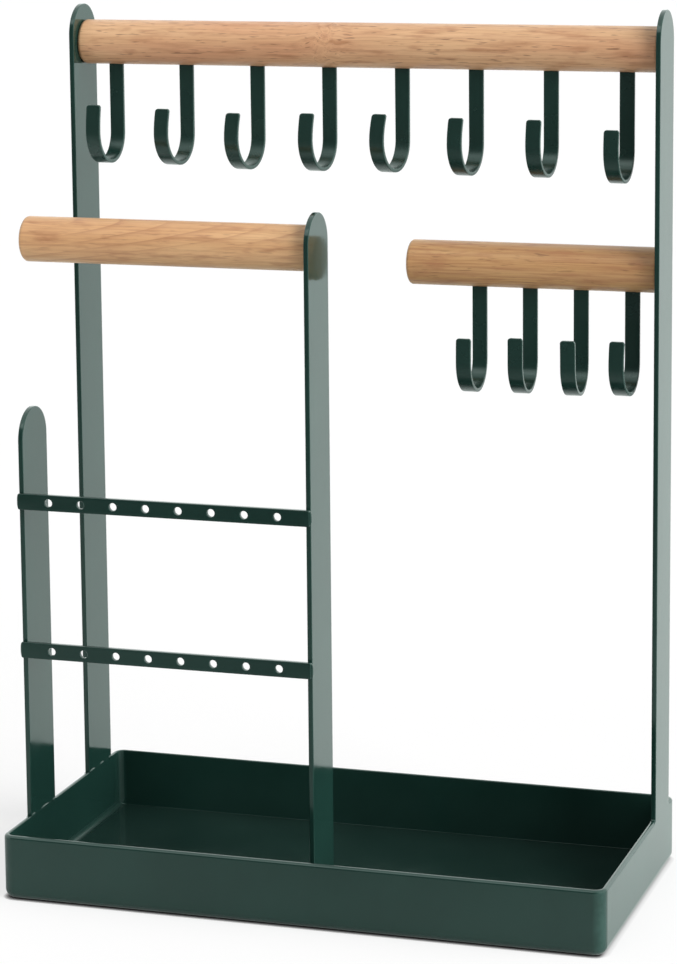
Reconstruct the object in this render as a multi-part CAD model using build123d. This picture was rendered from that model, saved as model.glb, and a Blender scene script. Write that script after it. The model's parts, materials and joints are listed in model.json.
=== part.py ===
from build123d import *
import os

# Jewelry stand: a pressed metal tray carries four flat posts, the posts carry three round
# wooden rails, and the rails carry flat J hooks. Two perforated earring bars join the short
# post to the middle post. Millimetres, +X to the right, +Y to the back, +Z up. The origin is
# the centre of the tray's underside.

# Sheet metal: the tray, the posts and the earring bars are all of this thickness
sheet = 2.0

# Tray
tray_length = 245.0
tray_depth = 126.0
tray_height = 26.0
tray_inner_corner_radius = 3.0
tray_inner_floor_radius = 1.5
tray_rim_rounding = 1.3

# Posts: flat bars with full-round tops, their width from front to back
post_width = 25.0
tall_post_top = 348.5
middle_post_top = 273.5
short_post_top = 192.0
back_post_setback = 11.5
front_post_setback = 27.0
middle_post_offset = -1.5

# Wooden rails, each measured down from the top of the post that carries it
rail_diameter = 18.0
rail_end_rounding = 1.5
top_rail_below_top = 15.5
bracelet_rail_below_top = 14.0
lower_rail_below_top = 102.0
bracelet_rail_length = 119.5
lower_rail_length = 102.0

# Studs welded to the posts, glued into blind bores in the rails' ends
stud_diameter = 4.0
stud_length = 20.0
bore_end_gap = 0.5

# J hooks, bent from flat strip, with the strip's wide face to the front
hook_strip_width = 6.0
hook_strip_thickness = 1.5
hook_bend_radius = 12.0
hook_drop = 40.0
hook_tip_straight = 11.0
hook_tip_corner_radius = 1.2
top_hook_count = 8
top_hook_margin = 13.75
lower_hook_count = 4
lower_hook_post_margin = 11.2
lower_hook_free_margin = 28.5

# Earring bars, welded to the front edges of the short post and the middle post
bar_height = 6.5
bar_corner_radius = 0.8
upper_bar_below_top = 36.0
lower_bar_below_top = 96.6
earring_hole_diameter = 3.2
earring_hole_count = 8
earring_hole_margin = 13.2

# Clearances
glue_gap = 0.1
wood_over_tang = 1.0

# Worked out from the values above
tray_corner_radius = tray_inner_corner_radius + sheet
tray_floor_radius = tray_inner_floor_radius + sheet
wall_middle_x = (tray_length - sheet) / 2
right_post_face_x = wall_middle_x - sheet / 2
left_post_face_x = -right_post_face_x
middle_post_face_x = middle_post_offset - sheet / 2
back_post_y = tray_depth / 2 - back_post_setback - post_width / 2
front_post_y = -tray_depth / 2 + front_post_setback + post_width / 2
rim_posts = {
    "left_tall_post": (-wall_middle_x, back_post_y, tall_post_top),
    "left_short_post": (-wall_middle_x, front_post_y, short_post_top),
    "right_tall_post": (wall_middle_x, back_post_y, tall_post_top),
}
rail_radius = rail_diameter / 2
top_rail_z = tall_post_top - top_rail_below_top
bracelet_rail_z = middle_post_top - bracelet_rail_below_top
lower_rail_z = tall_post_top - lower_rail_below_top
bore_radius = stud_diameter / 2 + glue_gap
bore_depth = stud_length + bore_end_gap
tang_length = rail_radius - bore_radius - wood_over_tang


def spread(first, last, count):
    """Evenly spaced places from the first to the last."""
    return [first + (last - first) * i / (count - 1) for i in range(count)]


def rod(radius, start_x, end_x, y, z):
    """A round bar along X."""
    return Pos((start_x + end_x) / 2, y, z) * Rot(0, 90, 0) * Cylinder(radius, abs(end_x - start_x))


def make_tray():
    """A pressed tray with rounded corners, a rounded foot and a rim that is rounded outside.

    The rim stays square where a post stands on it, so each post has a full flat seat.
    """
    outline = RectangleRounded(tray_length, tray_depth, tray_corner_radius)
    outer = extrude(outline, tray_height)
    outer = fillet(outer.faces().sort_by(Axis.Z)[0].edges(), tray_floor_radius)
    outer = fillet(outer.faces().sort_by(Axis.Z)[-1].edges(), tray_rim_rounding)
    seat = Box(sheet, post_width, tray_rim_rounding, align=(Align.CENTER, Align.CENTER, Align.MAX))
    for x, y, top in rim_posts.values():
        outer += Pos(x, y, tray_height) * seat
    inner_length = tray_length - 2 * sheet
    inner_depth = tray_depth - 2 * sheet
    hollow = Pos(0, 0, sheet) * extrude(
        RectangleRounded(inner_length, inner_depth, tray_inner_corner_radius), tray_height
    )
    hollow = fillet(hollow.faces().sort_by(Axis.Z)[0].edges(), tray_inner_floor_radius)
    return outer - hollow


def make_post(x, y, bottom, top):
    """A flat post, square at its foot and full-round at its top."""
    arc_z = top - post_width / 2
    outline = Pos(y, (bottom + arc_z) / 2) * Rectangle(post_width, arc_z - bottom)
    outline += Pos(y, arc_z) * Circle(post_width / 2)
    return Pos(x, 0, 0) * extrude(Plane.YZ * outline, sheet / 2, both=True)


def make_rail(start_x, end_x, y, z, bored_ends, hook_places):
    """A wooden rail with a blind bore in each end that a stud holds and a slot for each hook."""
    rail = rod(rail_radius, start_x, end_x, y, z)
    end_edges = rail.edges().filter_by(GeomType.CIRCLE)
    rail = fillet(end_edges, rail_end_rounding)
    for end_x_bored, inward in bored_ends:
        rail -= rod(bore_radius, end_x_bored, end_x_bored + inward * bore_depth, y, z)
    slot_width = hook_strip_width + 2 * glue_gap
    slot_thickness = hook_strip_thickness + 2 * glue_gap
    slot_top = z - rail_radius + tang_length + glue_gap
    slot_bottom = z - rail_radius - glue_gap
    for x in hook_places:
        slot = Box(slot_width, slot_thickness, slot_top - slot_bottom)
        rail -= Pos(x, y, (slot_top + slot_bottom) / 2) * slot
    return rail


def make_stud(face_x, inward, y, z):
    """A plain stud that stands on a post's face."""
    return rod(stud_diameter / 2, face_x, face_x + inward * stud_length, y, z)


def make_hook(x, y, rail_z):
    """A J hook: a tang in the rail, a straight stem, a half-circle bend and an upright tip."""
    half = hook_strip_thickness / 2
    rail_underside = rail_z - rail_radius
    bend_z = rail_underside - hook_drop + half + hook_bend_radius
    stem_top = rail_underside + tang_length
    stem = Pos(y, (bend_z + stem_top) / 2) * Rectangle(hook_strip_thickness, stem_top - bend_z)
    outer_radius = hook_bend_radius + half
    ring = Circle(outer_radius) - Circle(hook_bend_radius - half)
    lower_half = Rectangle(2 * outer_radius, outer_radius, align=(Align.CENTER, Align.MAX))
    bend = Pos(y - hook_bend_radius, bend_z) * (ring & lower_half)
    tip_y = y - 2 * hook_bend_radius
    tip = Rectangle(hook_strip_thickness, hook_tip_straight, align=(Align.CENTER, Align.MIN))
    outline = stem + bend + Pos(tip_y, bend_z) * tip
    hook = extrude(Plane.YZ * outline, hook_strip_width / 2, both=True)
    tip_edges = hook.edges().filter_by(Axis.Y).group_by(Axis.Z)[0]
    return Pos(x, 0, 0) * fillet(tip_edges, hook_tip_corner_radius)


def make_earring_bar(z):
    """A flat bar with a row of round holes, from the short post's outer face to the middle post's."""
    left = -tray_length / 2
    right = middle_post_offset + sheet / 2
    outline = Pos((left + right) / 2, z) * RectangleRounded(right - left, bar_height, bar_corner_radius)
    for x in spread(left + earring_hole_margin, right - earring_hole_margin, earring_hole_count):
        outline -= Pos(x, z) * Circle(earring_hole_diameter / 2)
    bar_y = front_post_y - post_width / 2 - sheet / 2
    return Pos(0, bar_y, 0) * extrude(Plane.XZ * outline, sheet / 2, both=True)


top_hook_places = spread(
    left_post_face_x + top_hook_margin,
    right_post_face_x - top_hook_margin,
    top_hook_count,
)
lower_hook_places = spread(
    right_post_face_x - lower_rail_length + lower_hook_free_margin,
    right_post_face_x - lower_hook_post_margin,
    lower_hook_count,
)

parts = {
    "tray": make_tray(),
    "middle_post": make_post(middle_post_offset, front_post_y, sheet, middle_post_top),
    "top_rail": make_rail(
        left_post_face_x,
        right_post_face_x,
        back_post_y,
        top_rail_z,
        [(left_post_face_x, 1), (right_post_face_x, -1)],
        top_hook_places,
    ),
    "bracelet_rail": make_rail(
        middle_post_face_x - bracelet_rail_length,
        middle_post_face_x,
        front_post_y,
        bracelet_rail_z,
        [(middle_post_face_x, -1)],
        [],
    ),
    "lower_rail": make_rail(
        right_post_face_x - lower_rail_length,
        right_post_face_x,
        back_post_y,
        lower_rail_z,
        [(right_post_face_x, -1)],
        lower_hook_places,
    ),
    "rail_studs": Compound(
        [
            make_stud(left_post_face_x, 1, back_post_y, top_rail_z),
            make_stud(right_post_face_x, -1, back_post_y, top_rail_z),
            make_stud(middle_post_face_x, -1, front_post_y, bracelet_rail_z),
            make_stud(right_post_face_x, -1, back_post_y, lower_rail_z),
        ]
    ),
    "upper_earring_bar": make_earring_bar(short_post_top - upper_bar_below_top),
    "lower_earring_bar": make_earring_bar(short_post_top - lower_bar_below_top),
}
for node, (x, y, top) in rim_posts.items():
    parts[node] = make_post(x, y, tray_height, top)
for number, place in enumerate(top_hook_places, start=1):
    parts[f"top_hook_{number}"] = make_hook(place, back_post_y, top_rail_z)
for number, place in enumerate(lower_hook_places, start=1):
    parts[f"lower_hook_{number}"] = make_hook(place, back_post_y, lower_rail_z)

os.makedirs("parts", exist_ok=True)
for node, shape in parts.items():
    export_step(shape, f"parts/{node}.step")
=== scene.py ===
"""A jewelry stand of dark green painted metal with pale wooden rails.

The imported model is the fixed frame. The rails and their studs stay and get their finishes. The
tray, the posts, the bars and the hooks are formed again in their places, with eased edges and the
small turns and drops of strip that was bent by hand. The welds are pieces of their own.
All sizes are metres, +X to the right, +Y to the back, +Z up.
"""

import json
import logging
import math
from dataclasses import dataclass, field
from enum import Enum

import bmesh
import bpy
from mathutils import Matrix, Vector

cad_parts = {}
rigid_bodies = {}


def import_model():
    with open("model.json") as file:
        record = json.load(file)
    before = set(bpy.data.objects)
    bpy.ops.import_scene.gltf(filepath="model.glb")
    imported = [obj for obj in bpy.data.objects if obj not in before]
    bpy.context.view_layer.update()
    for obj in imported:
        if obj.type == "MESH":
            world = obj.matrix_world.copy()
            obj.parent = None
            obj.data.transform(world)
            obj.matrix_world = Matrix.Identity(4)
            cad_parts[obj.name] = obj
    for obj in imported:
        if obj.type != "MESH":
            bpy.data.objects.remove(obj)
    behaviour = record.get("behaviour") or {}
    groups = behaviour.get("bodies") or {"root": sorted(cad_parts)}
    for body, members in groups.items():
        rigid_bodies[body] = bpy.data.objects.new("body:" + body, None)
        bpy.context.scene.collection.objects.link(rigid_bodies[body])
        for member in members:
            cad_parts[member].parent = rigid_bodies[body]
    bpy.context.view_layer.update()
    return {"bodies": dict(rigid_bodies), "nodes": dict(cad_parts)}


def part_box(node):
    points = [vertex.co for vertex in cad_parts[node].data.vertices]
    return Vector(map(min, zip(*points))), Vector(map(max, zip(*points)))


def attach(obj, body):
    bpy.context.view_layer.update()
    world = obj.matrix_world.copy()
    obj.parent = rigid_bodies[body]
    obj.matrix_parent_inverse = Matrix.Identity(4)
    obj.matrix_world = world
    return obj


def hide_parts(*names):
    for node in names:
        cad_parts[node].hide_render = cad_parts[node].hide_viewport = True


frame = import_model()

Colour = tuple[float, float, float]
Point = tuple[float, float, float]
Pair = tuple[float, float]
Socket = bpy.types.NodeSocket
Material = bpy.types.Material
Object = bpy.types.Object
Ring = list[bmesh.types.BMVert]
Levels = float | list[float]

LOG = logging.getLogger("jewelry_stand")
MM = 0.001
QUARTER = math.pi / 2
WHITE = (1.0, 1.0, 1.0)
# Mesh layer for edges painted paler: thin paint and painted highlight.
EDGE_WEAR_AND_LIGHT = "edge_wear_and_light"
# Mesh layer for creases painted paler and duller: dirt and painted highlight.
CREASE_DUST_AND_LIGHT = "crease_dust_and_light"
BODY = next(iter(frame["bodies"]))
NODES = frame["nodes"]


class Calc(Enum):
    """The sums that a finish works out from a place on the surface."""

    ADD = "ADD"
    SUBTRACT = "SUBTRACT"
    MULTIPLY = "MULTIPLY"
    SCALE = "SCALE"
    POWER = "POWER"
    SMALLER = "MINIMUM"
    SIZE = "ABSOLUTE"
    ROOT = "SQRT"
    FRACTION = "FRACT"


class Slot(Enum):
    """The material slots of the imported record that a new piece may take."""

    METAL = "green_metal"


@dataclass(frozen=True)
class Marks:
    """Soft random marks: how many fit in a metre along x and across it, and the levels they show at."""

    along: float
    across: float
    start: float = 0.0
    end: float = 1.0
    detail: float = 2.0
    seed: float = 0.0


class Sheet:
    """The nodes of one material or of the world, with a short method for each kind of node."""

    def __init__(self, tree: bpy.types.NodeTree, seed: float = 0.0) -> None:
        """Start with an empty tree.

        Args:
            tree: The node tree to fill.
            seed: What sets its random marks apart from those of other sheets.
        """
        self.tree = tree
        self.seed = seed
        tree.nodes.clear()

    def node(self, kind: str, inputs: dict | None = None, **settings: object) -> bpy.types.Node:
        """Add one node.

        Args:
            kind: Blender's name for the node's type.
            inputs: A socket's name or number, and the value or socket that feeds it.
            **settings: Properties to set before the inputs are filled.

        Returns:
            The new node.
        """
        made = self.tree.nodes.new(kind)
        for name, value in settings.items():
            setattr(made, name, value)
        for key, value in (inputs or {}).items():
            if isinstance(value, bpy.types.NodeSocket):
                self.tree.links.new(value, made.inputs[key])
            else:
                made.inputs[key].default_value = value
        return made

    def feed(self, kind: str, inputs: dict, **settings: object) -> Socket:
        """Add one node and return its first output."""
        return self.node(kind, inputs, **settings).outputs[0]

    def place(self) -> Socket:
        """The place on the surface in the shared frame, in metres."""
        return self.node("ShaderNodeTexCoord").outputs["Object"]

    def moved(self, place: Socket, **change: Point) -> Socket:
        """The place after a change of its Location, Rotation or Scale."""
        return self.feed("ShaderNodeMapping", {"Vector": place, **change})

    def split(self, vector: Socket) -> list[Socket]:
        """The x, y and z of a vector."""
        return list(self.node("ShaderNodeSeparateXYZ", {0: vector}).outputs)

    def grey(self, level: Socket) -> Socket:
        """The grey of a level."""
        return self.feed("ShaderNodeCombineXYZ", {0: level, 1: level, 2: level})

    def attribute(self, name: str) -> Socket:
        """What the mesh stores under a name."""
        return self.node("ShaderNodeAttribute", attribute_name=name).outputs["Fac"]

    def calc(self, kind: Calc, *values: object) -> Socket:
        """The result of one sum of numbers or sockets."""
        return self.feed("ShaderNodeMath", dict(enumerate(values)), operation=kind.value)

    def vectors(self, kind: Calc, inputs: dict) -> Socket:
        """The result of one sum of vectors."""
        return self.feed("ShaderNodeVectorMath", inputs, operation=kind.value)

    def plus(self, first: object, second: object) -> Socket:
        """Two levels added up."""
        return self.calc(Calc.ADD, first, second)

    def minus(self, first: object, second: object) -> Socket:
        """The first level less the second."""
        return self.calc(Calc.SUBTRACT, first, second)

    def times(self, first: object, second: object) -> Socket:
        """Two levels multiplied."""
        return self.calc(Calc.MULTIPLY, first, second)

    def ramp(self, x: Socket, start: float, end: float, low: float = 0.0, high: float = 1.0) -> Socket:
        """A smooth change from a low level at the start to a high one at the end."""
        inputs = {0: x, 1: start, 2: end, 3: low, 4: high}
        return self.feed("ShaderNodeMapRange", inputs, interpolation_type="SMOOTHSTEP")

    def noise(self, place: Socket, marks: Marks) -> Socket:
        """Spread random marks over the surface.

        Args:
            place: Where they are read.
            marks: Their size and kind.

        Returns:
            A level from 0 to 1.
        """
        scaled = self.moved(place, Scale=(marks.along, marks.across, marks.across))
        inputs = {"Vector": scaled, "W": self.seed + marks.seed, "Scale": 1.0, "Detail": marks.detail}
        return self.feed("ShaderNodeTexNoise", {**inputs, "Roughness": 0.55}, noise_dimensions="4D")

    def show(self, place: Socket, marks: Marks, low: float = 0.0, high: float = 1.0) -> Socket:
        """How much of random marks shows, from a low share to a high one."""
        return self.ramp(self.noise(place, marks), marks.start, marks.end, low, high)

    def blend(self, share: Socket, first: object, second: object) -> Socket:
        """The first colour with a share of the second over it."""
        inputs = {0: share, 6: solid(first), 7: solid(second)}
        return self.node("ShaderNodeMix", inputs, data_type="RGBA").outputs[2]

    def bump(self, height: Socket, depth: float, strength: float) -> Socket:
        """The normal of a relief as deep as depth, in metres."""
        return self.feed("ShaderNodeBump", {"Height": height, "Distance": depth, "Strength": strength})

    def surface(self, inputs: dict) -> None:
        """Finish a material with one surface."""
        shader = self.feed("ShaderNodeBsdfPrincipled", inputs)
        self.node("ShaderNodeOutputMaterial", {0: shader})


def solid(colour: object) -> object:
    """Add the fourth part to a plain colour, and leave a socket as it is."""
    return (*colour, 1.0) if isinstance(colour, tuple) else colour


def new_material(name: str, seed: float = 0.0) -> tuple[Material, Sheet]:
    """Make an empty material.

    Args:
        name: The material's name.
        seed: The seed of its random marks.

    Returns:
        The material and the sheet of its nodes.
    """
    material = bpy.data.materials.new(name)
    material.use_nodes = True
    return material, Sheet(material.node_tree, seed)


@dataclass(frozen=True)
class PaintFinish:
    """Smooth dark green paint, baked on metal. Its edges are painted paler, for thin paint and painted
    highlight; its creases paler and duller, for dirt and painted highlight; faces that point up paler,
    for dirt and painted light from above.
    """

    shade: Colour = (0.0094, 0.0325, 0.0258)
    deep_shade: Colour = (0.0078, 0.0275, 0.0218)
    # Paler tone for edges: thin paint and painted highlight.
    edge_shade: Colour = (0.0300, 0.0700, 0.0590)
    # Greyer tone for dirt, also for painted highlight in creases and painted light on faces that point
    # up.
    dust_and_light_shade: Colour = (0.0500, 0.0700, 0.0640)
    gloss_tint: Colour = (0.82, 1.0, 0.95)
    edge_strength: float = 0.45
    crease_strength: float = 0.10
    grime_share: float = 0.08
    # Share of paler tone on faces that point up: dirt and painted light from above.
    top_light_and_dust: float = 0.16
    level_normal: Pair = (0.80, 1.0)
    least_crease_mark: float = 0.70
    least_top_mark: float = 0.60
    least_patch: float = 0.25
    roughness: float = 0.10
    roughness_change: float = 0.03
    crease_roughness: float = 0.34
    refraction: float = 1.5
    peel_depth: float = 0.012 * MM
    peel_strength: float = 0.6
    swell_share: float = 3.0
    clouds: Marks = Marks(28.0, 28.0, 0.35, 0.68, detail=3.0)
    top_marks: Marks = Marks(28.0, 28.0, 0.30, 0.70, detail=3.0)
    grime: Marks = Marks(260.0, 260.0, 0.70, 0.86, detail=4.0, seed=3.1)
    crease_marks: Marks = Marks(45.0, 45.0, 0.30, 0.66, seed=4.6)
    patches: Marks = Marks(170.0, 170.0, 0.34, 0.62, detail=3.0, seed=7.3)
    haze: Marks = Marks(55.0, 55.0, 0.30, 0.72, detail=4.0, seed=1.7)
    peel: Marks = Marks(620.0, 620.0, detail=1.0, seed=5.9)
    swell: Marks = Marks(120.0, 120.0, detail=1.0, seed=9.4)

    def material(self, name: str) -> Material:
        """Make the paint.

        Args:
            name: The material's name.

        Returns:
            The material.
        """
        material, sheet = new_material(name)
        place = sheet.place()
        colour = sheet.blend(sheet.show(place, self.clouds), self.deep_shade, self.shade)
        grime = sheet.show(place, self.grime, 0.0, self.grime_share)
        colour = sheet.blend(grime, colour, self.dust_and_light_shade)
        # Creases are painted paler: partly dirt, partly painted highlight down the inner corners and
        # along the end walls' feet.
        crease_marks = sheet.show(place, self.crease_marks, self.least_crease_mark)
        crease = sheet.times(sheet.attribute(CREASE_DUST_AND_LIGHT), crease_marks)
        colour = sheet.blend(sheet.times(crease, self.crease_strength), colour, self.dust_and_light_shade)
        # Faces that point up are painted paler: partly dirt lying on them, partly painted light from
        # above.
        upward = sheet.split(sheet.node("ShaderNodeNewGeometry").outputs["Normal"])[2]
        level_share = sheet.ramp(upward, *self.level_normal, 0.0, self.top_light_and_dust)
        dust_and_light_level = sheet.times(level_share, sheet.show(place, self.top_marks, self.least_top_mark))
        colour = sheet.blend(dust_and_light_level, colour, self.dust_and_light_shade)
        # Edges are painted paler: partly thin, scuffed paint, partly painted highlight where rims and
        # rounded corners catch the light.
        patches = sheet.show(place, self.patches, self.least_patch)
        worn_and_lit = sheet.times(sheet.times(sheet.attribute(EDGE_WEAR_AND_LIGHT), patches), self.edge_strength)
        colour = sheet.blend(worn_and_lit, colour, self.edge_shade)
        low, high = self.roughness - self.roughness_change, self.roughness + self.roughness_change
        dull = sheet.times(crease, self.crease_roughness)
        swell = sheet.times(sheet.noise(place, self.swell), self.swell_share)
        height = sheet.plus(sheet.noise(place, self.peel), swell)
        sheet.surface(
            {
                "Base Color": colour,
                "Roughness": sheet.plus(sheet.show(place, self.haze, low, high), dull),
                "IOR": self.refraction,
                "Specular Tint": solid(self.gloss_tint),
                "Normal": sheet.bump(height, self.peel_depth, self.peel_strength),
            }
        )
        return material


@dataclass(frozen=True)
class WoodFinish:
    """Pale oiled wood with fine pores, growth rings, brown flecks and one small burl.

    The pith is the y and z of the tree's middle from the rail's own, and the lean how much it turns
    to the back and tilts.
    """

    pith: Pair
    lean: Pair
    seed: float
    pale: Colour
    warm: Colour
    burl_x: float = 0.0
    burl_reach: float = 13.0 * MM
    burl_swirl: float = 0.0
    eddies_per_metre: float = 120.0
    brown: Colour = (0.390, 0.170, 0.078)
    pore_shade: Colour = (0.190, 0.078, 0.036)
    ring_width: float = 2.6 * MM
    ring_strength: float = 0.34
    ring_sharpness: float = 4.5
    ring_end: Pair = (0.93, 1.0)
    faded_share: float = 0.20
    wave_height: float = 3.2 * MM
    fibre_share: float = 0.46
    streak_share: float = 0.72
    mottle_share: float = 0.42
    pore_share: float = 0.85
    fleck_share: float = 0.80
    roughness: Pair = (0.37, 0.54)
    rough_fibre: Pair = (0.30, 0.75)
    refraction: float = 1.5
    pore_depth: float = 1.2
    grain_depth: float = 0.06 * MM
    grain_strength: float = 0.5
    zones: Marks = Marks(11.0, 75.0, 0.34, 0.66)
    fibres: Marks = Marks(42.0, 1250.0, 0.38, 0.74, detail=3.0, seed=1.0)
    waves: Marks = Marks(14.0, 60.0, seed=2.0)
    streaks: Marks = Marks(50.0, 420.0, 0.52, 0.72, detail=3.0, seed=4.0)
    fades: Marks = Marks(13.0, 40.0, 0.40, 0.60, detail=1.0, seed=5.0)
    pores: Marks = Marks(150.0, 1500.0, 0.60, 0.72, detail=1.0, seed=6.0)
    mottles: Marks = Marks(95.0, 300.0, 0.55, 0.75, seed=8.0)
    flecks: Marks = Marks(105.0, 620.0, 0.71, 0.79, detail=1.0, seed=9.0)

    def material(self, name: str, rail: Vector) -> Material:
        """Make the wood of one rail.

        Args:
            name: The material's name.
            rail: The rail's middle.

        Returns:
            The material.
        """
        material, sheet = new_material(name, self.seed)
        place = self.swirl(sheet, sheet.moved(sheet.place(), Location=(0.0, -rail.y, -rail.z)))
        colour = sheet.blend(sheet.show(place, self.zones), self.pale, self.warm)
        fibre = sheet.noise(place, self.fibres)
        fibre_share = sheet.ramp(fibre, self.fibres.start, self.fibres.end, 0.0, self.fibre_share)
        pore_share = sheet.show(place, self.pores, 0.0, self.pore_share * self.fleck_share)
        for share, shade in (
            (fibre_share, self.brown),
            (self.rings(sheet, place), self.brown),
            (sheet.show(place, self.streaks, 0.0, self.streak_share), self.brown),
            (sheet.show(place, self.mottles, 0.0, self.mottle_share), self.brown),
            (pore_share, self.pore_shade),
            (sheet.show(place, self.flecks, 0.0, self.fleck_share), self.pore_shade),
        ):
            colour = sheet.blend(share, colour, shade)
        grain = sheet.minus(fibre, sheet.times(pore_share, self.pore_depth))
        sheet.surface(
            {
                "Base Color": colour,
                "Roughness": sheet.ramp(fibre, *self.rough_fibre, *self.roughness),
                "IOR": self.refraction,
                "Normal": sheet.bump(grain, self.grain_depth, self.grain_strength),
            }
        )
        return material

    def rings(self, sheet: Sheet, place: Socket) -> Socket:
        """Lay the growth rings round the pith, each darker towards its end.

        Args:
            sheet: The sheet that the nodes go in.
            place: The place in the wood.

        Returns:
            How dark the rings are there.
        """
        turn, tilt = self.lean
        turned = sheet.moved(place, Rotation=(0.0, tilt, turn))
        _, y, z = sheet.split(turned)
        across, up = sheet.minus(y, self.pith[0]), sheet.minus(z, self.pith[1])
        squares = sheet.plus(sheet.times(across, across), sheet.times(up, up))
        waves = sheet.times(sheet.noise(turned, self.waves), self.wave_height)
        radius = sheet.plus(sheet.calc(Calc.ROOT, squares), waves)
        share = sheet.calc(Calc.FRACTION, sheet.times(radius, 1 / self.ring_width))
        late = sheet.calc(Calc.POWER, share, self.ring_sharpness)
        ring = sheet.times(late, sheet.ramp(share, *self.ring_end, 1.0, 0.0))
        ring = sheet.times(ring, sheet.show(place, self.fades, self.faded_share))
        return sheet.times(ring, self.ring_strength)

    def swirl(self, sheet: Sheet, place: Socket) -> Socket:
        """Let the grain run round a small burl.

        Args:
            sheet: The sheet that the nodes go in.
            place: The place in the wood.

        Returns:
            The place at which the grain is read.
        """
        away = sheet.calc(Calc.SIZE, sheet.minus(sheet.split(place)[0], self.burl_x))
        near = sheet.ramp(away, 0.0, self.burl_reach, self.burl_swirl, 0.0)
        inputs = {"Vector": place, "Scale": self.eddies_per_metre, "Detail": 1.0, "Roughness": 0.5}
        eddies = sheet.node("ShaderNodeTexNoise", inputs).outputs["Color"]
        offset = sheet.vectors(Calc.ADD, {0: eddies, 1: (-0.5, -0.5, -0.5)})
        offset = sheet.vectors(Calc.SCALE, {0: offset, "Scale": near})
        return sheet.vectors(Calc.ADD, {0: place, 1: offset})


@dataclass(frozen=True)
class StudioFinish:
    """The pale paper floor and the pale room round it.

    Both are darker behind the camera, as a studio is, and only the gloss shows that. The gloss
    also shows them slightly green. The paper's shade under the tray shows only to the camera, and
    less of it shows at the lit side.
    """

    paper: float = 0.94
    dim_paper: float = 0.68
    shown_paper: float = 0.30
    lift: float = 0.70
    gloss_lift: float = 0.15
    gloss_tint: Colour = (0.93, 1.0, 0.975)
    side_share: float = 0.9
    paper_fade: Pair = (-0.30, 0.55)
    tooth: Marks = Marks(900.0, 900.0)
    tooth_depth: float = 0.004
    contact_reach: float = 2.4 * MM
    contact_power: float = 2.4
    lit_side: Pair = (119.5 * MM, 122.5 * MM)
    lit_share: float = 0.25
    room_light: float = 0.40
    room_fade: Pair = (0.45, 0.85)
    bright_room: float = 1.65
    dim_room: float = 0.16

    def seen(self, sheet: Sheet) -> tuple[Socket, Socket, Socket]:
        """Tell what looks at the paper or the room.

        Args:
            sheet: The sheet that the nodes go in.

        Returns:
            A socket for the camera, one for gloss and glass, and the tint that these see.
        """
        path = sheet.node("ShaderNodeLightPath").outputs
        gloss = sheet.plus(path["Is Glossy Ray"], path["Is Transmission Ray"])
        gloss = sheet.calc(Calc.SMALLER, gloss, 1.0)
        return path["Is Camera Ray"], gloss, sheet.blend(gloss, WHITE, self.gloss_tint)

    def floor_material(self) -> Material:
        """Make the paper, which keeps the object's shadow.

        Returns:
            The paper's material.
        """
        material, sheet = new_material("pale_paper")
        camera, gloss, tint = self.seen(sheet)
        place = sheet.place()
        x, y, _ = sheet.split(place)
        aside = sheet.times(sheet.calc(Calc.SIZE, x), self.side_share)
        ahead = sheet.minus(sheet.times(y, -1.0), aside)
        level = sheet.ramp(ahead, *self.paper_fade, 1.0, self.dim_room)
        pale = sheet.times(gloss, sheet.minus(sheet.times(level, self.paper), self.dim_paper))
        pale = sheet.plus(pale, self.dim_paper)
        pale = sheet.plus(pale, sheet.times(camera, self.shown_paper - self.dim_paper))
        pale = sheet.minus(pale, sheet.times(sheet.noise(place, self.tooth), self.tooth_depth))
        nook = sheet.node("ShaderNodeAmbientOcclusion", {"Distance": self.contact_reach}, samples=8)
        cover = sheet.minus(1.0, sheet.calc(Calc.POWER, nook.outputs["AO"], self.contact_power))
        shown = sheet.times(camera, sheet.ramp(x, *self.lit_side, 1.0, self.lit_share))
        shade = sheet.minus(1.0, sheet.times(shown, cover))
        colour = sheet.vectors(Calc.MULTIPLY, {0: sheet.grey(sheet.times(pale, shade)), 1: tint})
        shine = sheet.times(sheet.times(gloss, level), self.gloss_lift)
        strength = sheet.times(sheet.plus(sheet.times(camera, self.lift), shine), shade)
        paper = sheet.feed("ShaderNodeBsdfDiffuse", {"Color": colour})
        glow = sheet.feed("ShaderNodeEmission", {"Color": tint, "Strength": strength})
        both = sheet.feed("ShaderNodeAddShader", {0: paper, 1: glow})
        sheet.node("ShaderNodeOutputMaterial", {0: both})
        return material

    def room(self) -> bpy.types.World:
        """Make the room's even light and its pale look in the gloss.

        Returns:
            The world that holds them.
        """
        world = bpy.data.worlds.new("pale_room")
        world.use_nodes = True
        sheet = Sheet(world.node_tree)
        camera, gloss, tint = self.seen(sheet)
        _, y, _ = sheet.split(sheet.node("ShaderNodeTexCoord").outputs["Generated"])
        level = sheet.ramp(sheet.times(y, -1.0), *self.room_fade, self.bright_room, self.dim_room)
        shine = sheet.times(gloss, sheet.minus(level, self.room_light))
        white = sheet.times(camera, 1.0 - self.room_light)
        strength = sheet.plus(sheet.plus(white, shine), self.room_light)
        light = sheet.feed("ShaderNodeBackground", {"Color": tint, "Strength": strength})
        sheet.node("ShaderNodeOutputWorld", {0: light})
        return world


def put(name: str, data: bpy.types.ID) -> Object:
    """Put a new object in the scene.

    Args:
        name: The object's name.
        data: Its mesh, lamp or camera.

    Returns:
        The object.
    """
    made = bpy.data.objects.new(name, data)
    bpy.context.scene.collection.objects.link(made)
    return made


def dress(piece: Object, material: Material) -> None:
    """Put a material in every slot of a piece.

    Args:
        piece: The object to dress.
        material: Its finish.
    """
    if not piece.material_slots:
        piece.data.materials.append(material)
    for slot in piece.material_slots:
        slot.material = material


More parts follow.
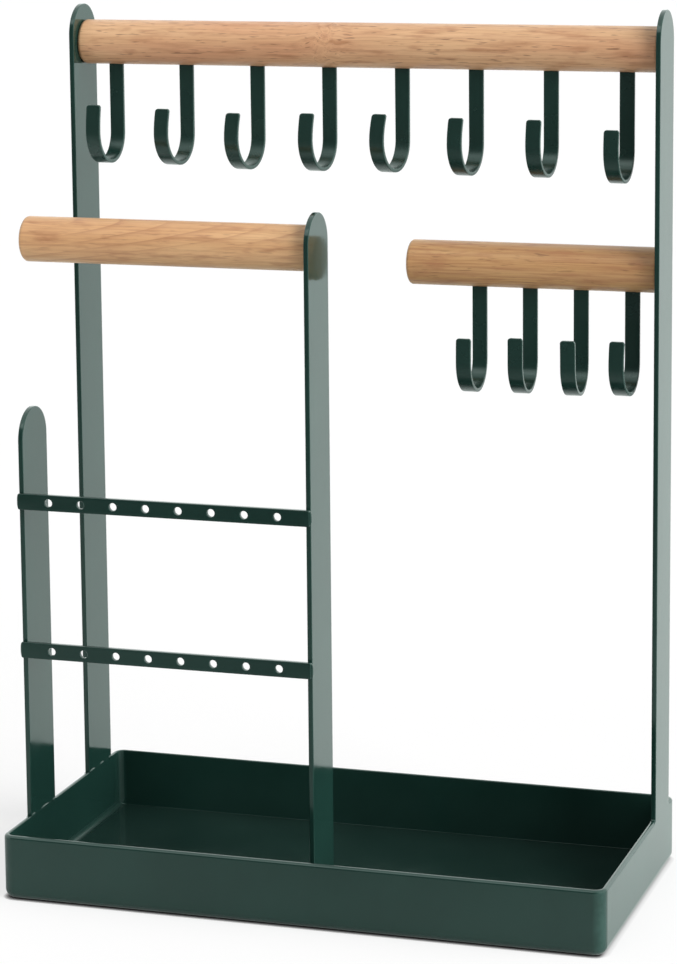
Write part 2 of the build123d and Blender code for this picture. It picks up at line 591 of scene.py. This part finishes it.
def fix_piece(piece: Object, paint: Material, node: str | None = None) -> None:
    """Paint a piece, fix it to the stand and let it stand for its solid.

    Args:
        piece: The piece.
        paint: Its paint.
        node: The solid that it stands for.
    """
    dress(piece, paint)
    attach(piece, BODY)
    if node is not None:
        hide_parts(node)


def middle(node: str) -> Vector:
    """The middle of a solid's box."""
    low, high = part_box(node)
    return (low + high) / 2


def arc(first: float, sweep: float, steps: int) -> list[Pair]:
    """The cosine and sine at even steps of a turn, with both its ends."""
    angles = [first + sweep * i / steps for i in range(steps + 1)]
    return [(math.cos(angle), math.sin(angle)) for angle in angles]


def rounded_box(half_width: float, half_height: float, radius: float, steps: int) -> list[Pair]:
    """Draw a box with rounded corners round its middle.

    Args:
        half_width: Half its width.
        half_height: Half its height.
        radius: The radius of its corners.
        steps: How many sides round each corner.

    Returns:
        The outline's points.
    """
    points = []
    for corner in range(4):
        x = (half_width - radius) * (1 if corner in (0, 3) else -1)
        y = (half_height - radius) * (1 if corner in (0, 1) else -1)
        points += [(x + radius * c, y + radius * s) for c, s in arc(corner * QUARTER, QUARTER, steps)]
    return points


class Skin:
    """A mesh in the making, put together from rings of points."""

    def __init__(self, name: str) -> None:
        """Start an empty mesh.

        Args:
            name: The name of the piece that it becomes.
        """
        self.name = name
        self.mesh = bmesh.new()
        self.wear_and_light = self.mesh.verts.layers.float.new(EDGE_WEAR_AND_LIGHT)
        self.dust_and_light = self.mesh.verts.layers.float.new(CREASE_DUST_AND_LIGHT)

    def ring(self, points: list[Vector], wear_and_light: Levels = 0.0, dust_and_light: Levels = 0.0) -> Ring:
        """Add a ring of points.

        Args:
            points: The places, in order.
            wear_and_light: How pale the edge is painted, for thin paint and for painted highlight, for
                the whole ring or for each point.
            dust_and_light: How pale and dull the creases are painted, for dirt and for painted
                highlight, for the whole ring or for each point.

        Returns:
            The ring's vertices.
        """
        worn_and_lit = wear_and_light if isinstance(wear_and_light, list) else [wear_and_light] * len(points)
        dust_and_light_levels = dust_and_light if isinstance(dust_and_light, list) else [dust_and_light] * len(points)
        made = []
        for point, wear_and_light_level, dust_and_light_level in zip(points, worn_and_lit, dust_and_light_levels):
            vertex = self.mesh.verts.new(point)
            vertex[self.wear_and_light] = wear_and_light_level
            vertex[self.dust_and_light] = dust_and_light_level
            made.append(vertex)
        return made

    def span(self, rings: list[Ring]) -> None:
        """Join a row of rings with faces, each to the next.

        Args:
            rings: The rings, with as many points in each.
        """
        for first, second in zip(rings, rings[1:]):
            for i, vertex in enumerate(first):
                after = (i + 1) % len(first)
                self.mesh.faces.new((vertex, first[after], second[after], second[i]))

    def close(self, rings: list[Ring]) -> None:
        """Join a row of rings and close both its ends with a flat face.

        Args:
            rings: The rings, with as many points in each.
        """
        self.span(rings)
        self.mesh.faces.new(rings[0])
        self.mesh.faces.new(rings[-1])

    def cap_round_holes(self, rings: list[Ring]) -> None:
        """Fill a flat outline and leave its holes open.

        Args:
            rings: The outline and the rim of each hole.
        """
        pairs = [pair for ring in rings for pair in zip(ring, ring[1:] + ring[:1])]
        edges = [self.mesh.edges.get(pair) for pair in pairs]
        bmesh.ops.triangle_fill(self.mesh, use_beauty=True, use_dissolve=False, edges=edges)

    def piece(self) -> Object:
        """Finish the mesh.

        Returns:
            The piece, smoothly shaded with its flat faces kept flat.
        """
        bmesh.ops.recalc_face_normals(self.mesh, faces=self.mesh.faces)
        for face in self.mesh.faces:
            face.smooth = True
        mesh = bpy.data.meshes.new(self.name)
        self.mesh.to_mesh(mesh)
        self.mesh.free()
        made = put(self.name, mesh)
        made.modifiers.new("even_shading", "WEIGHTED_NORMAL")
        return made


def eased_edges(thickness: float, radius: float, steps: int = 3, worn_and_lit: float = 0.55) -> list[Point]:
    """Work out the rings that round both edges of a flat piece.

    Args:
        thickness: The metal's thickness.
        radius: The radius of the rounding.
        steps: How many faces round each edge.
        worn_and_lit: How pale the rounding is painted, for thin paint and for painted highlight.

    Returns:
        How far in each ring lies, how deep from the middle of the metal, and how pale it is painted for
        thin paint and painted highlight.
    """
    rings = []
    for i, (c, s) in enumerate(arc(0.0, QUARTER, steps)):
        wear_and_light = worn_and_lit if 0 < i < steps else 0.0
        rings.append((radius * (1 - s), -thickness / 2 + radius * (1 - c), wear_and_light))
    return rings + [(inset, -depth, wear_and_light) for inset, depth, wear_and_light in reversed(rings)]


@dataclass(frozen=True)
class WeldTack:
    """A short weld bead in the corner or seam between two pieces of metal, under the paint."""

    name: str
    centre: Point
    along: Point
    outward: Point
    length: float
    width: float = 1.5 * MM
    height: float = 0.45 * MM
    ripples: int = 4
    ripple_share: float = 0.10
    stations: int = 28
    points: int = 14

    def form(self) -> Object:
        """Make the bead as one closed, rippled form, half sunk in the seam.

        Returns:
            The bead's object.
        """
        along = Vector(self.along).normalized()
        outward = Vector(self.outward).normalized()
        across = along.cross(outward)
        skin = Skin(self.name)
        rings = []
        for i in range(1, self.stations):
            share = i / self.stations
            swell = math.sqrt(math.sin(math.pi * share))
            ripple = 1.0 + self.ripple_share * math.cos(2 * math.pi * self.ripples * share)
            centre = Vector(self.centre) + along * (share - 0.5) * self.length
            ring = []
            for c, s in arc(0.0, 2 * math.pi, self.points)[:-1]:
                side = across * c * self.width / 2 * swell * ripple
                ring.append(centre + side + outward * s * self.height * swell * ripple)
            rings.append(skin.ring(ring))
        skin.close(rings)
        return skin.piece()

    def add(self, paint: Material) -> None:
        """Make the bead, paint it and fix it to the stand."""
        fix_piece(self.form(), paint)
        LOG.info("%s: weld, %.1f mm long", self.name, self.length / MM)


@dataclass(frozen=True)
class Station:
    """A place on the tray's outline, the way out of the tray there, and how round the rim is."""

    x: float
    y: float
    out_x: float
    out_y: float
    roundness: float = 1.0


@dataclass
class Assembly:
    """A sub-assembly of the stand, in the stand's paint."""

    paint: Material


@dataclass
class Tray(Assembly):
    """The pressed tray that everything stands on."""

    length: float = 245.0 * MM
    depth: float = 126.0 * MM
    height: float = 26.0 * MM
    sheet: float = 2.0 * MM
    corner_radius: float = 5.0 * MM
    floor_radius: float = 3.5 * MM
    rim_rounding: float = 1.3 * MM
    seat_rounding: float = 0.04 * MM
    inner_easing: float = 0.45 * MM
    crease_reach: float = 1.3 * MM
    # Rim: painted paler, partly thin paint and partly painted highlight.
    rim_wear_and_light: float = 0.20
    # Outer corners: a paler band, a painted highlight.
    outer_corner_light: float = 1.25
    # Inner corners: a pale, dull line, a painted highlight.
    inner_corner_light: float = 4.0
    inner_corner_light_power: int = 4
    long_side_foot: float = 0.06
    seat_fade: float = 2.0 * MM
    left_seats: tuple[Pair, ...] = ((-36.0 * MM, -11.0 * MM), (26.5 * MM, 51.5 * MM))
    right_seats: tuple[Pair, ...] = ((26.5 * MM, 51.5 * MM),)
    fade_steps: int = 4
    corner_steps: int = 12
    curve_steps: int = 8
    easing_steps: int = 5

    def side(self, sign: float, seats: tuple[Pair, ...]) -> list[Station]:
        """The straight part of an end wall, with the rim square where a post stands.

        Args:
            sign: 1 for the right wall, which runs to the back, or -1 for the left one.
            seats: The lowest and highest y of each post.

        Returns:
            The stations in their order round the tray.
        """
        marks = {}
        for low, high in seats:
            for step in range(self.fade_steps + 1):
                fade = step / self.fade_steps
                roundness = 0.5 - 0.5 * math.cos(math.pi * fade)
                marks[low - self.seat_fade * fade] = roundness
                marks[high + self.seat_fade * fade] = roundness
        x = sign * self.length / 2
        return [Station(x, y, sign, 0.0, marks[y]) for y in sorted(marks, reverse=sign < 0)]

    def corner(self, number: int) -> list[Station]:
        """A rounded corner.

        Args:
            number: Its number, from 0 for the right back one, anticlockwise.

        Returns:
            The stations round the corner, with both its ends.
        """
        radius = self.corner_radius
        x = (self.length / 2 - radius) * (1 if number in (0, 3) else -1)
        y = (self.depth / 2 - radius) * (1 if number in (0, 1) else -1)
        turn = arc(number * QUARTER, QUARTER, self.corner_steps)
        return [Station(x + radius * c, y + radius * s, c, s) for c, s in turn]

    def stations(self) -> list[Station]:
        """The whole outline, anticlockwise from the right wall."""
        right_and_back = self.side(1.0, self.right_seats) + self.corner(0) + self.corner(1)
        return right_and_back + self.side(-1.0, self.left_seats) + self.corner(2) + self.corner(3)

    def profile(self, roundness: float, foot: float, corner: float) -> list[tuple[float, ...]]:
        """The tray's section at one station, from the underside over the rim to the floor.

        Args:
            roundness: 1 for the full rounding of the rim, 0 where a post stands.
            foot: 1 for the full rounding between the wall and the floor inside.
            corner: 1 in the middle of a corner, 0 along a straight wall.

        Returns:
            How far in and how high each point is, and two levels of paler paint: at edges for thin paint
            and painted highlight, in creases for dirt and painted highlight.
        """
        steps, top = self.curve_steps, self.height
        curve = list(enumerate(arc(0.0, QUARTER, steps)))
        outer, inner = self.floor_radius, (self.floor_radius - self.sheet) * foot
        rim = self.seat_rounding + (self.rim_rounding - self.seat_rounding) * roundness
        easing = self.seat_rounding + (self.inner_easing - self.seat_rounding) * roundness
        # Painted highlight: a paler band down each outer corner.
        thin = self.outer_corner_light * corner
        # Painted highlight: a pale line down each inner corner.
        dust_and_light = self.inner_corner_light * corner**self.inner_corner_light_power
        points = [(outer * (1 - s), outer * (1 - c), thin * i / steps, 0.0) for i, (c, s) in curve]
        for i, (c, s) in curve:
            # The upper half of the rim's rounding is painted paler: partly thin paint, partly painted
            # highlight.
            wear_and_light = self.rim_wear_and_light if steps / 2 < i < steps else thin * (1 - i / steps)
            points.append((rim * (1 - c), top - rim * (1 - s), wear_and_light, 0.0))
        for i, (c, s) in enumerate(arc(0.0, QUARTER, self.easing_steps)):
            wear_and_light = self.rim_wear_and_light if 0 < i < self.easing_steps else 0.0
            inset = self.sheet - easing * (1 - s)
            points.append((inset, top - easing * (1 - c), wear_and_light, dust_and_light * i / self.easing_steps))
        points.append((self.sheet, self.floor_radius + self.crease_reach, 0.0, dust_and_light))
        # The walls' feet inside take the crease layer: painted paler, partly dirt, partly painted
        # highlight along the end walls.
        for _, (c, s) in curve:
            points.append((self.sheet + inner * (1 - c), self.sheet + inner * (1 - s), 0.0, foot))
        points.append((self.floor_radius + self.crease_reach, self.sheet, 0.0, 0.0))
        return points

    def build(self) -> None:
        """Form the tray from one sheet and paint it."""
        stations = self.stations()
        profiles = []
        for station in stations:
            foot = self.long_side_foot + (1 - self.long_side_foot) * station.out_x**2
            corner = 2 * abs(station.out_x * station.out_y)
            profiles.append(self.profile(station.roundness, foot, corner))
        skin = Skin("tray_form")
        rings = []
        for level in zip(*profiles):
            ring = []
            for station, (inset, height, _, _) in zip(stations, level):
                x, y = station.x - station.out_x * inset, station.y - station.out_y * inset
                ring.append(Vector((x, y, height)))
            rings.append(skin.ring(ring, [point[2] for point in level], [point[3] for point in level]))
        skin.close(rings)
        fix_piece(skin.piece(), self.paint, "tray")
        LOG.info("tray: pressed form")


@dataclass
class Posts(Assembly):
    """The four flat posts, three on the tray's rim and one on its floor, with their weld tacks.

    The tacks have each bead's offset from the post's middle and its length, in millimetres. The
    middle tack and the front tack have a bead's length, width and height.
    """

    width: float = 25.0 * MM
    sheet: float = 2.0 * MM
    easing: float = 0.35 * MM
    top_steps: int = 36
    wall_face_x: float = 120.5 * MM
    rim: float = 26.0 * MM
    names: tuple[str, ...] = ("left_tall_post", "left_short_post", "middle_post", "right_tall_post")
    tacks: dict[str, tuple[Pair, ...]] = field(
        default_factory=lambda: {
            "left_tall_post": ((-9.3, 6.4), (1.5, 4.6), (10.9, 3.2)),
            "left_short_post": ((-10.5, 4.0), (1.4, 8.4), (10.9, 3.2)),
            "right_tall_post": ((-9.0, 5.0), (7.5, 4.2)),
        }
    )
    middle_offset: float = 8.0 * MM
    middle_tack: Point = (6.0 * MM, 1.5 * MM, 0.7 * MM)
    front_tack: Point = (1.9 * MM, 1.8 * MM, 0.9 * MM)

    def build_post(self, name: str) -> None:
        """Cut one post with a square foot and a full-round top, and ease its long edges.

        Args:
            name: The post's node.
        """
        low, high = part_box(name)
        centre = middle(name)
        skin = Skin(f"{name}_form")
        rings = []
        arc_z, half_circle = high.z - self.width / 2, arc(math.pi, -math.pi, self.top_steps)
        for inset, depth, wear_and_light in eased_edges(self.sheet, self.easing):
            x, reach = centre.x + depth, self.width / 2 - inset
            points = [Vector((x, centre.y + reach * c, arc_z + reach * s)) for c, s in half_circle]
            points.insert(0, Vector((x, centre.y - reach, low.z)))
            points.append(Vector((x, centre.y + reach, low.z)))
            rings.append(skin.ring(points, wear_and_light))
        skin.close(rings)
        fix_piece(skin.piece(), self.paint, name)
        LOG.info("%s: flat post", name)

    def build(self) -> None:
        """Cut each post and tack its foot."""
        for name in self.names:
            self.build_post(name)
        for post, places in self.tacks.items():
            centre = middle(post)
            side = math.copysign(1.0, centre.x)
            for number, (offset, length) in enumerate(places, start=1):
                name = f"{post}_tack_{number}"
                place = (side * self.wall_face_x, centre.y + offset * MM, self.rim)
                WeldTack(name, place, (0, 1, 0), (-side, 0, 0), length * MM).add(self.paint)
        low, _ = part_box("right_tall_post")
        foot = (middle("right_tall_post").x, low.y, low.z)
        name = "right_tall_post_front_tack"
        WeldTack(name, foot, (1, 0, 0), (0, -1, 1), *self.front_tack, ripples=1).add(self.paint)
        low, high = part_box("middle_post")
        for side, word, x in ((-1.0, "left", low.x), (1.0, "right", high.x)):
            for number, sign in enumerate((-1, 1), start=1):
                place = (x, middle("middle_post").y + sign * self.middle_offset, low.z)
                name = f"middle_post_{word}_tack_{number}"
                WeldTack(name, place, (0, 1, 0), (side, 0, 1), *self.middle_tack).add(self.paint)


@dataclass
class EarringBars(Assembly):
    """The two perforated bars between the front posts, in a darker copy of the paint, which paints shade
    on them.

    A tack and an end bead have their length, width and height.
    """

    sheet: float = 2.0 * MM
    height: float = 6.5 * MM
    corner_radius: float = 0.8 * MM
    corner_steps: int = 6
    hole_count: int = 8
    hole_radius: float = 1.6 * MM
    hole_steps: int = 32
    end_margin: float = 13.2 * MM
    easing: float = 0.30 * MM
    tack: Point = (4.4 * MM, 1.3 * MM, 0.6 * MM)
    left_end: Point = (5.8 * MM, 1.7 * MM, 0.5 * MM)
    right_end: Point = (5.8 * MM, 1.7 * MM, 0.8 * MM)
    # Painted shade: the stand's paint, darker for the bars.
    finish: PaintFinish = PaintFinish(
        shade=(0.0072, 0.0280, 0.0220), deep_shade=(0.0058, 0.0232, 0.0182), edge_strength=0.30
    )
    names: tuple[str, ...] = ("upper_earring_bar", "lower_earring_bar")

    def build_bar(self, name: str) -> None:
        """Cut one bar with its holes and ease all its edges.

        Args:
            name: The bar's node.
        """
        low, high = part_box(name)
        centre = middle(name)
        half_length = (high.x - low.x) / 2
        first = low.x + self.end_margin
        pitch = (high.x - self.end_margin - first) / (self.hole_count - 1)
        skin = Skin(f"{name}_form")
        outer: list[Ring] = []
        holes: list[list[Ring]] = [[] for _ in range(self.hole_count)]
        circle = arc(0.0, 2 * math.pi, self.hole_steps)[:-1]
        for inset, depth, wear_and_light in eased_edges(self.sheet, self.easing):
            y, reach = centre.y + depth, self.hole_radius + inset
            half_height, radius = self.height / 2 - inset, self.corner_radius - inset
            outline = rounded_box(half_length - inset, half_height, radius, self.corner_steps)
            outer.append(skin.ring([Vector((centre.x + x, y, centre.z + z)) for x, z in outline], wear_and_light))
            for number, rings in enumerate(holes):
                x = first + pitch * number
                points = [Vector((x + reach * c, y, centre.z + reach * s)) for c, s in circle]
                rings.append(skin.ring(points, wear_and_light))
        for rings in (outer, *holes):
            skin.span(rings)
        for face in (0, -1):
            skin.cap_round_holes([outer[face], *(rings[face] for rings in holes)])
        fix_piece(skin.piece(), self.paint, name)
        LOG.info("%s: bar with %d holes", name, self.hole_count)

    def build(self) -> None:
        """Cut both bars and weld their ends to the posts."""
        self.paint = self.finish.material(f"{self.paint.name}_deep")
        left_seam, right_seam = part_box("left_short_post")[1].x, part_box("middle_post")[0].x
        for name in self.names:
            self.build_bar(name)
            low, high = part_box(name)
            centre = middle(name)
            for side, x, toward in (("left", left_seam, 1.0), ("right", right_seam, -1.0)):
                bead, seam = f"{name}_{side}_tack", (x, high.y, centre.z)
                WeldTack(bead, seam, (0, 0, 1), (toward, 1, 0), *self.tack).add(self.paint)
            for side, x, toward, sizes in (
                ("left", low.x, -1.0, self.left_end),
                ("right", high.x, 1.0, self.right_end),
            ):
                bead, end = f"{name}_{side}_end", (x, centre.y, centre.z)
                WeldTack(bead, end, (0, 0, 1), (toward, 0, 0), *sizes, ripples=1).add(self.paint)


@dataclass(frozen=True)
class Bend:
    """How one hook was bent by hand: its turn in degrees, its drop and its longer tip in millimetres."""

    turn: float
    drop: float
    tip: float


@dataclass
class Hooks(Assembly):
    """The two rows of flat J hooks, in a duller coat of paint."""

    width: float = 6.0 * MM
    thickness: float = 1.5 * MM
    easing: float = 0.28 * MM
    least_easing: float = 0.02 * MM
    easing_steps: int = 3
    bend_radius: float = 12.0 * MM
    tip_straight: float = 11.0 * MM
    tip_corner_radius: float = 1.2 * MM
    slant: float = 0.06
    stem_steps: int = 12
    bend_steps: int = 28
    tip_steps: int = 4
    tip_corner_steps: int = 6
    finish: PaintFinish = PaintFinish(edge_strength=0.30, roughness=0.26)
    bends: dict[str, tuple[Bend, ...]] = field(
        default_factory=lambda: {
            "top": (
                Bend(3.3, -0.6, 0.5),
                Bend(6.3, -0.5, -0.4),
                Bend(7.9, 0.6, -0.4),
                Bend(6.5, 0.5, 0.0),
                Bend(9.0, 0.3, 0.1),
                Bend(6.0, 0.8, -0.3),
                Bend(3.3, 0.8, -0.4),
                Bend(2.3, 2.3, -2.3),
            ),
            "lower": (
                Bend(0.7, 0.6, -1.0),
                Bend(0.0, 0.3, -0.3),
                Bend(-0.9, 0.3, -0.5),
                Bend(2.7, -0.5, -0.8),
            ),
        }
    )

    def path(self, stem_y: float, top: float, bend_z: float, tip_z: float) -> list[tuple[float, ...]]:
        """The middle of the strip from the rail down, round the bend and up to the tip.

        Args:
            stem_y: The stem's place from front to back.
            top: The height at which the stem starts, inside the rail.
            bend_z: The height of the bend's centre.
            tip_z: The height of the tip's end.

        Returns:
            For each place its y and z, the y and z of the way out of the bend, half the width, and
            how much the wide faces draw in.
        """
        half, radius, rounding = self.width / 2, self.bend_radius, self.tip_corner_radius
        tip_y = stem_y - 2 * radius
        places = []
        for i in range(self.stem_steps + 1):
            places.append((stem_y, top + (bend_z - top) * i / self.stem_steps, 1.0, 0.0, half, 0.0))
        for c, s in arc(0.0, math.pi, self.bend_steps)[1:-1]:
            places.append((stem_y - radius + radius * c, bend_z - radius * s, c, -s, half, 0.0))
        for i in range(self.tip_steps):
            z = bend_z + (tip_z - rounding - bend_z) * i / self.tip_steps
            places.append((tip_y, z, -1.0, 0.0, half, 0.0))
        for c, s in arc(0.0, QUARTER, self.tip_corner_steps):
            below = rounding * (1 - s)
            lift = max(self.easing - below, 0.0)
            thin = self.easing - math.sqrt(self.easing**2 - lift**2)
            places.append((tip_y, tip_z - below, -1.0, 0.0, half - rounding * (1 - c), thin))
        return places

    def build_hook(self, name: str, rail: str, bend: Bend) -> None:
        """Bend one hook from flat strip.

        Args:
            name: The hook's node.
            rail: The node of the rail that holds it.
            bend: How it was bent.
        """
        low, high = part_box(name)
        centre_x, stem_y = middle(name).x, high.y - self.thickness / 2
        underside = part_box(rail)[0].z
        bend_z = low.z + self.thickness / 2 + self.bend_radius
        lowered = bend_z - bend.drop * MM
        tip_z = lowered + self.tip_straight + bend.tip * MM
        wear_and_light = [0.0, *[1.0] * (self.easing_steps - 1), 0.0] * 4
        skin = Skin(f"{name}_form")
        rings = []
        for y, z, out_y, out_z, half, thin in self.path(stem_y, high.z, lowered, tip_z):
            share = min(max((underside - z) / (underside - lowered), 0.0), 1.0)
            z += self.slant * (stem_y - y - self.bend_radius) * share
            turn = -math.radians(bend.turn) * share * share * (3 - 2 * share)
            radius = max(self.easing - thin, self.least_easing)
            ring = []
            for x, through in rounded_box(half, self.thickness / 2 - thin, radius, self.easing_steps):
                along = y + out_y * through - stem_y
                turned_x = centre_x + x * math.cos(turn) - along * math.sin(turn)
                turned_y = stem_y + x * math.sin(turn) + along * math.cos(turn)
                ring.append(Vector((turned_x, turned_y, z + out_z * through)))
            rings.append(skin.ring(ring, wear_and_light))
        skin.close(rings)
        fix_piece(skin.piece(), self.paint, name)
        LOG.info("%s: bent strip", name)

    def build(self) -> None:
        """Bend every hook."""
        self.paint = self.finish.material(f"{self.paint.name}_satin")
        for row, bends in self.bends.items():
            for number, bend in enumerate(bends, start=1):
                self.build_hook(f"{row}_hook_{number}", f"{row}_rail", bend)


@dataclass
class Rails(Assembly):
    """The three round wooden rails and the studs that hold them."""

    finishes: dict[str, WoodFinish] = field(
        default_factory=lambda: {
            "top_rail": WoodFinish(
                pith=(30.0 * MM, -34.0 * MM),
                lean=(0.010, 0.012),
                seed=3.0,
                burl_x=-15.0 * MM,
                burl_swirl=8.0 * MM,
                pale=(0.690, 0.425, 0.232),
                warm=(0.620, 0.325, 0.176),
            ),
            "bracelet_rail": WoodFinish(
                pith=(10.0 * MM, -46.0 * MM),
                lean=(0.02, 0.17),
                seed=41.0,
                pale=(0.715, 0.450, 0.228),
                warm=(0.650, 0.370, 0.178),
                ring_width=3.4 * MM,
                ring_strength=0.90,
                fleck_share=0.30,
            ),
            "lower_rail": WoodFinish(
                pith=(20.0 * MM, -52.0 * MM),
                lean=(-0.02, 0.03),
                seed=57.0,
                pale=(0.590, 0.350, 0.150),
                warm=(0.500, 0.275, 0.112),
                ring_width=1.6 * MM,
                ring_strength=0.60,
                fibre_share=0.80,
                mottle_share=0.60,
                fleck_share=0.60,
            ),
        }
    )

    def build(self) -> None:
        """Give each rail its own piece of wood, and paint the studs."""
        for name, finish in self.finishes.items():
            dress(NODES[name], finish.material(f"{name}_wood", middle(name)))
            LOG.info("%s: wood", name)
        dress(NODES["rail_studs"], self.paint)
        LOG.info("rail_studs: paint")


def direction(height: float, side: float) -> Vector:
    """The way from the stand to a far place, from its height and side in radians."""
    level = math.cos(height)
    return Vector((math.sin(side) * level, -math.cos(side) * level, math.sin(height)))


@dataclass(frozen=True)
class Lamp:
    """A far, round lamp: its strength, its height and side as seen from the stand, and its size."""

    name: str
    strength: float
    height: float
    side: float
    spread: float
    in_gloss: bool

    def hang(self) -> None:
        """Hang the lamp and turn it to the stand."""
        lamp = bpy.data.lights.new(self.name, "SUN")
        lamp.energy = self.strength
        lamp.angle = math.radians(self.spread)
        holder = put(self.name, lamp)
        holder.visible_glossy = self.in_gloss
        holder.rotation_mode = "QUATERNION"
        toward = direction(math.radians(self.height), math.radians(self.side))
        holder.rotation_quaternion = toward.to_track_quat("Z", "Y")


@dataclass
class Studio:
    """The pale floor, the soft light and the camera, with its image and focal length in pixels."""

    floor_reach: float = 14.0
    floor_drop: float = 0.02 * MM
    floor_sides: int = 96
    lamps: tuple[Lamp, ...] = (
        Lamp("wide_lamp", 6.2, 16.0, 80.0, 60.0, in_gloss=False),
        Lamp("small_lamp", 0.22, 48.0, -20.0, 24.0, in_gloss=True),
    )
    image: Pair = (677.0, 964.0)
    centre: Pair = (324.147, 330.0)
    focal_pixels: float = 3290.98
    sensor_width: float = 36.0
    clip: Pair = (0.05, 60.0)
    azimuth: float = math.radians(17.946)
    elevation: float = math.radians(9.230)
    roll: float = math.radians(-0.573)
    camera_place: Point = (0.388283, -1.217301, 0.431692)
    finish: StudioFinish = StudioFinish()

    def build(self) -> None:
        """Lay the floor, light it and set the camera."""
        self.lay_floor()
        bpy.context.scene.world = self.finish.room()
        for lamp in self.lamps:
            lamp.hang()
        self.set_camera()
        bpy.context.scene.view_settings.view_transform = "Standard"
        LOG.info("studio: floor, light and camera")

    def lay_floor(self) -> None:
        """Lay a wide round sheet of paper under the tray."""
        reach, turn = self.floor_reach, arc(0.0, 2 * math.pi, self.floor_sides)
        mesh = bpy.data.meshes.new("floor")
        rim = [(reach * c, reach * s, -self.floor_drop) for c, s in turn[:-1]]
        mesh.from_pydata(rim, [], [range(self.floor_sides)])
        floor = put("floor", mesh)
        dress(floor, self.finish.floor_material())

    def set_camera(self) -> None:
        """Set the camera at the photograph's place and angle."""
        forward = -direction(self.elevation, self.azimuth)
        level = forward.cross(Vector((0.0, 0.0, 1.0))).normalized()
        upright = level.cross(forward)
        right = level * math.cos(self.roll) + upright * math.sin(self.roll)
        above = upright * math.cos(self.roll) - level * math.sin(self.roll)
        data = bpy.data.cameras.new("photo_view")
        data.sensor_width = self.sensor_width
        (width, height), (centre_x, centre_y) = self.image, self.centre
        long_side = max(width, height)
        data.lens = self.focal_pixels / long_side * self.sensor_width
        data.shift_x = (width / 2 - centre_x) / long_side
        data.shift_y = (centre_y - height / 2) / long_side
        data.clip_start, data.clip_end = self.clip
        camera = put("photo_view", data)
        turn = Matrix((right, above, -forward)).transposed().to_4x4()
        camera.matrix_world = Matrix.Translation(Vector(self.camera_place)) @ turn
        bpy.context.scene.camera = camera


def main() -> None:
    """Build the stand's sub-assemblies in order, then the studio."""
    logging.basicConfig(level=logging.INFO, format="%(message)s")
    paint = PaintFinish().material("green_paint")
    for assembly in (Tray, Posts, EarringBars, Rails, Hooks):
        assembly(paint).build()
    Studio().build()


if __name__ == "__main__":
    main()
